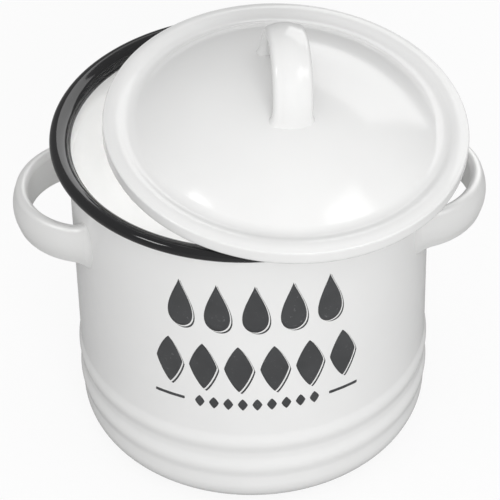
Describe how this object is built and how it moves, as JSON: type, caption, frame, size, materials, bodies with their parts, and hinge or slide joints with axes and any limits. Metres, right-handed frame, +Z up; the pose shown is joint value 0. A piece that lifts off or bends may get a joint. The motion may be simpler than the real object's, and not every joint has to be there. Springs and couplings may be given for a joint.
{
  "type": "lidded grease keeper",
  "caption": "White enamelled steel grease keeper with a black rolled rim, strap side handles and a domed lid with a loop handle, set askew on the rim.",
  "frame": {"origin": "centre of the base, on the surface that the pot stands on", "axes": "+Z up along the pot's axis, +X towards the right handle, -Y towards the printed front"},
  "size_m": [0.1658, 0.1404, 0.1704],
  "materials": {
    "white_enamel": "glossy white porcelain enamel on steel",
    "black_enamel": "glossy black porcelain enamel on steel",
    "print_charcoal": "satin charcoal print fired on the enamel"
  },
  "bodies": {
    "pot": {"pot_shell": "white_enamel", "rolled_rim": "black_enamel", "left_handle": "white_enamel", "right_handle": "white_enamel"},
    "lid": {"lid_shell": "white_enamel", "lid_handle": "white_enamel"}
  },
  "joints": [
    {"name": "lid_lift", "type": "slide", "parent": "pot", "child": "lid", "axis": [0, 0, 1], "range_m": [0, 0.07]}
  ]
}
